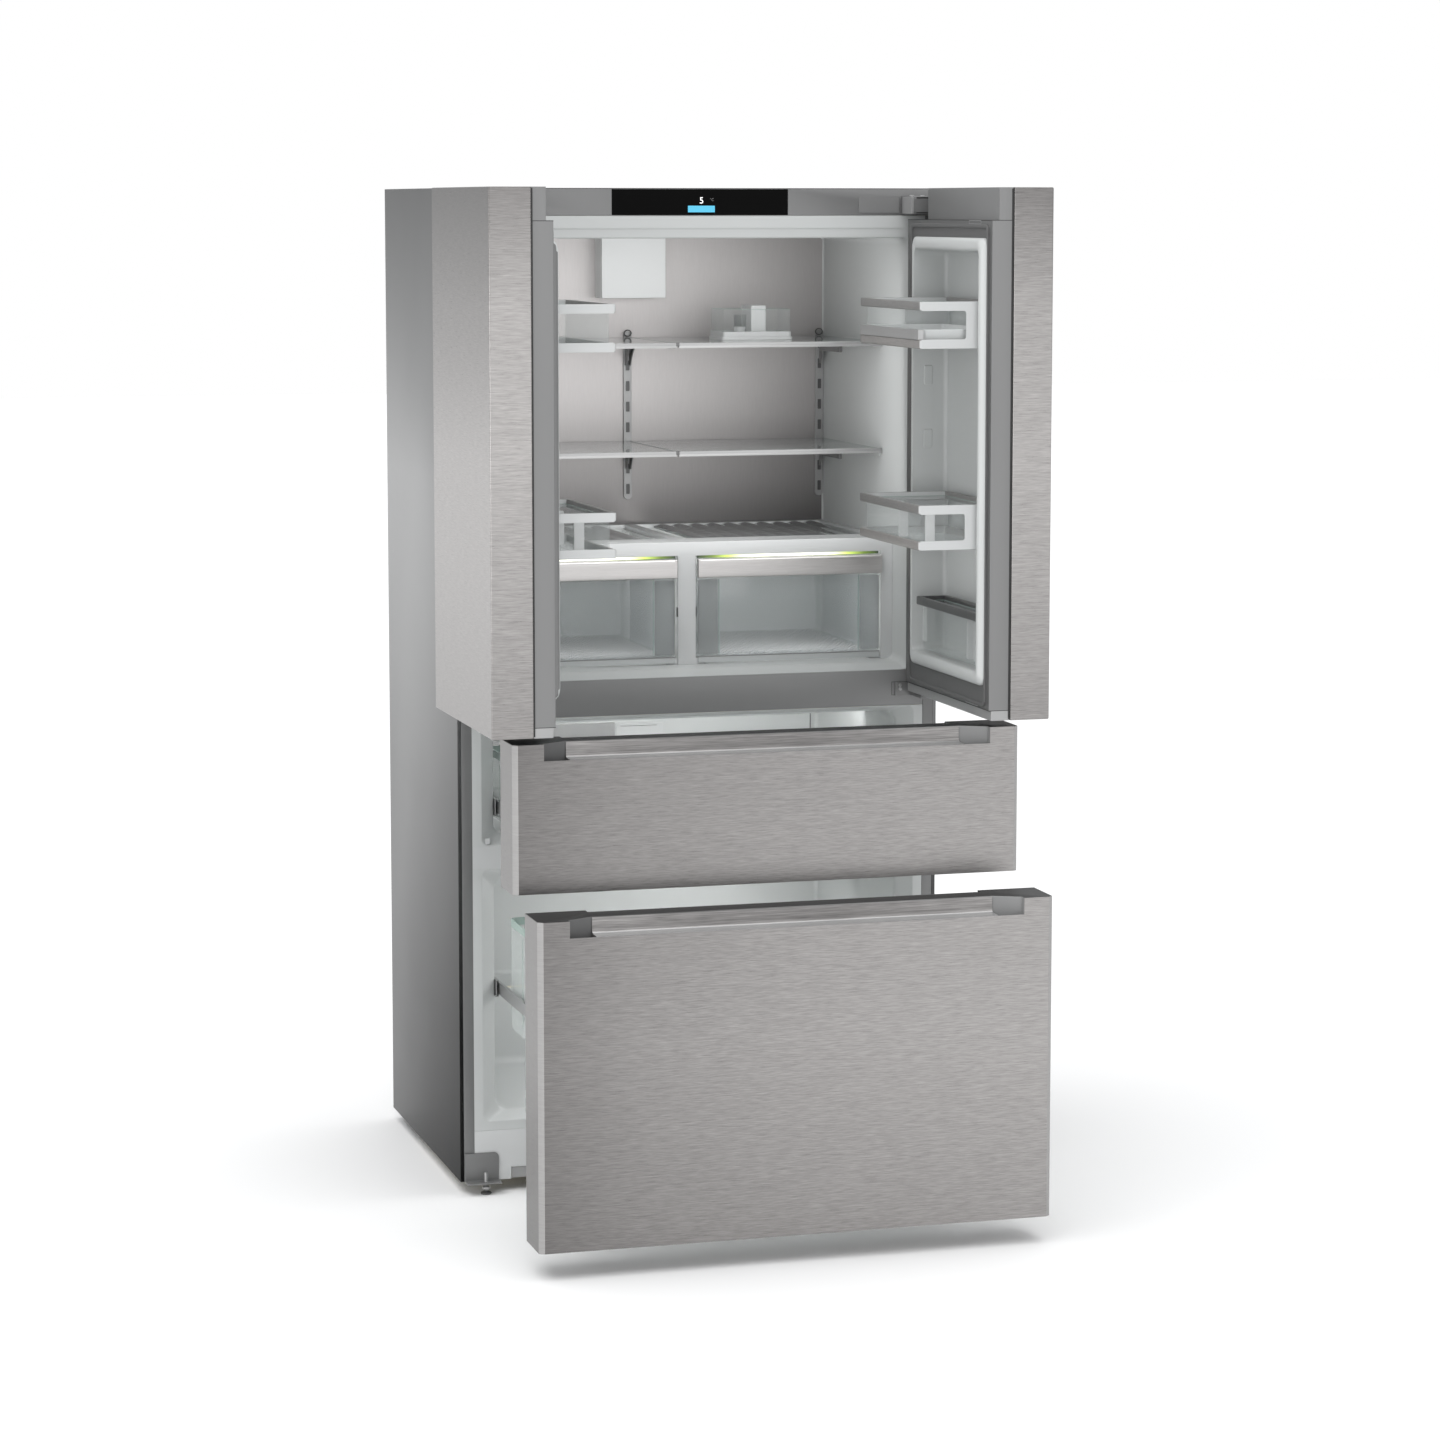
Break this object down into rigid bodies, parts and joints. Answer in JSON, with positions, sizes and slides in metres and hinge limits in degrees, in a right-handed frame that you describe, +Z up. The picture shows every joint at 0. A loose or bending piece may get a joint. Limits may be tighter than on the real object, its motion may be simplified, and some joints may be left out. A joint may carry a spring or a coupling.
{
  "type": "multi-door refrigerator",
  "caption": "French-door refrigerator with two pull-out drawers below, standing open, with shelves, crispers and bins.",
  "frame": {"origin": "on the floor, at the middle of the width and of the depth from the drawer front to the back", "axes": "+X to the right seen from the front, +Y from the front to the back, +Z up"},
  "size_m": [0.997, 1.238, 1.82],
  "materials": {
    "door_steel": "brushed stainless steel, grain across the width",
    "shell_steel": "satin silver-grey coated sheet",
    "back_sheet": "plain galvanised sheet",
    "black_plastic": "fine grained black plastic",
    "foam": "rigid insulation foam",
    "white_liner": "smooth white plastic",
    "rear_steel": "fine brushed steel",
    "frame_grey": "satin grey coated frame",
    "display_glass": "black glass",
    "hinge_metal": "satin grey metal",
    "rail_metal": "grey coated steel",
    "shelf_glass": "clear safety glass",
    "shelf_metal": "satin light grey metal",
    "clear_plastic": "clear plastic",
    "light_lens": "lit diffuser",
    "seal_grey": "soft grey seal",
    "grey_plastic": "satin grey plastic",
    "grip_steel": "brushed stainless steel",
    "machine_metal": "black enamelled metal",
    "fin_aluminium": "bare aluminium",
    "white_plastic": "white plastic",
    "bin_trim": "white and satin grey rails",
    "handle_metal": "satin metal bar"
  },
  "bodies": {
    "cabinet": {"outer_shell": "shell_steel", "back_panel": "back_sheet", "machine_cover": "black_plastic", "cabinet_foam": "foam", "fridge_liner": "white_liner", "fridge_rear_panel": "rear_steel", "freezer_liner": "white_liner", "evaporator_cover": "white_plastic", "front_frame": "frame_grey", "control_display": "display_glass", "mullion_bar": "frame_grey", "hinge_brackets": "hinge_metal", "shelf_rails": "rail_metal", "glass_shelves": "shelf_glass", "shelf_supports": "shelf_metal", "crisper_cover": "white_plastic", "crisper_lights": "light_lens", "air_filter_box": "white_plastic", "shelf_tray": "white_plastic", "drawer_rails": "rail_metal", "plinth_panel": "white_plastic", "foot_brackets": "hinge_metal", "cooling_unit": "machine_metal", "evaporator": "fin_aluminium"},
    "door_left": {"door_left_skin": "door_steel", "door_left_body": "frame_grey", "door_left_liner": "white_liner", "door_left_gasket": "seal_grey", "door_left_bin_frames": "bin_trim", "door_left_bin_glass": "clear_plastic"},
    "door_right": {"door_right_skin": "door_steel", "door_right_body": "frame_grey", "door_right_liner": "white_liner", "door_right_gasket": "seal_grey", "door_right_bin_frames": "bin_trim", "door_right_bin_glass": "clear_plastic"},
    "upper_drawer": {"upper_drawer_skin": "door_steel", "upper_drawer_body": "frame_grey", "upper_drawer_grip_housing": "grey_plastic", "upper_drawer_grip_strip": "grip_steel", "upper_drawer_gasket": "seal_grey", "upper_drawer_basket": "clear_plastic", "upper_drawer_rails": "rail_metal"},
    "upper_drawer_middle_rails": {"upper_drawer_middle_rails": "rail_metal"},
    "lower_drawer": {"lower_drawer_skin": "door_steel", "lower_drawer_body": "frame_grey", "lower_drawer_grip_housing": "grey_plastic", "lower_drawer_grip_strip": "grip_steel", "lower_drawer_gasket": "seal_grey", "lower_drawer_basket": "clear_plastic", "lower_drawer_rails": "rail_metal"},
    "lower_drawer_middle_rails": {"lower_drawer_middle_rails": "rail_metal"},
    "crisper_left": {"crisper_left_box": "clear_plastic", "crisper_left_handle": "handle_metal"},
    "crisper_right": {"crisper_right_box": "clear_plastic", "crisper_right_handle": "handle_metal"},
    "foot_left": {"foot_left": "black_plastic"},
    "foot_right": {"foot_right": "black_plastic"},
    "rear_rollers": {"rear_rollers": "black_plastic"},
    "evaporator_fan": {"evaporator_fan": "black_plastic"}
  },
  "joints": [
    {"name": "door_left_hinge", "type": "hinge", "parent": "cabinet", "child": "door_left", "pos_m": [-0.42775, -0.04825, 1.35], "axis": [0, 0, -1], "range_deg": [-90, 20]},
    {"name": "door_right_hinge", "type": "hinge", "parent": "cabinet", "child": "door_right", "pos_m": [0.42775, -0.04825, 1.35], "axis": [0, 0, 1], "range_deg": [-90, 20]},
    {"name": "upper_drawer_slide", "type": "slide", "parent": "cabinet", "child": "upper_drawer", "axis": [0, -1, 0], "range_m": [-0.323, 0.127]},
    {"name": "upper_drawer_middle_slide", "type": "slide", "parent": "cabinet", "child": "upper_drawer_middle_rails", "axis": [0, -1, 0], "range_m": [-0.1615, 0.0635]},
    {"name": "lower_drawer_slide", "type": "slide", "parent": "cabinet", "child": "lower_drawer", "axis": [0, -1, 0], "range_m": [-0.5, 0.02]},
    {"name": "lower_drawer_middle_slide", "type": "slide", "parent": "cabinet", "child": "lower_drawer_middle_rails", "axis": [0, -1, 0], "range_m": [-0.25, 0.01]},
    {"name": "crisper_left_slide", "type": "slide", "parent": "cabinet", "child": "crisper_left", "axis": [0, -1, 0], "range_m": [0, 0.3]},
    {"name": "crisper_right_slide", "type": "slide", "parent": "cabinet", "child": "crisper_right", "axis": [0, -1, 0], "range_m": [0, 0.3]},
    {"name": "foot_left_screw", "type": "slide", "parent": "cabinet", "child": "foot_left", "axis": [0, 0, -1], "range_m": [0, 0.012]},
    {"name": "foot_right_screw", "type": "slide", "parent": "cabinet", "child": "foot_right", "axis": [0, 0, -1], "range_m": [0, 0.012]},
    {"name": "rear_roller_axle", "type": "hinge", "parent": "cabinet", "child": "rear_rollers", "pos_m": [0, 0.575, 0.02], "axis": [1, 0, 0], "continuous": true},
    {"name": "evaporator_fan_spin", "type": "hinge", "parent": "cabinet", "child": "evaporator_fan", "pos_m": [0, 0.535, 0.525], "axis": [0, 1, 0], "continuous": true}
  ],
  "couplings": [
    {"joint": "upper_drawer_middle_slide", "follows": "upper_drawer_slide", "ratio": 0.5},
    {"joint": "lower_drawer_middle_slide", "follows": "lower_drawer_slide", "ratio": 0.5}
  ]
}
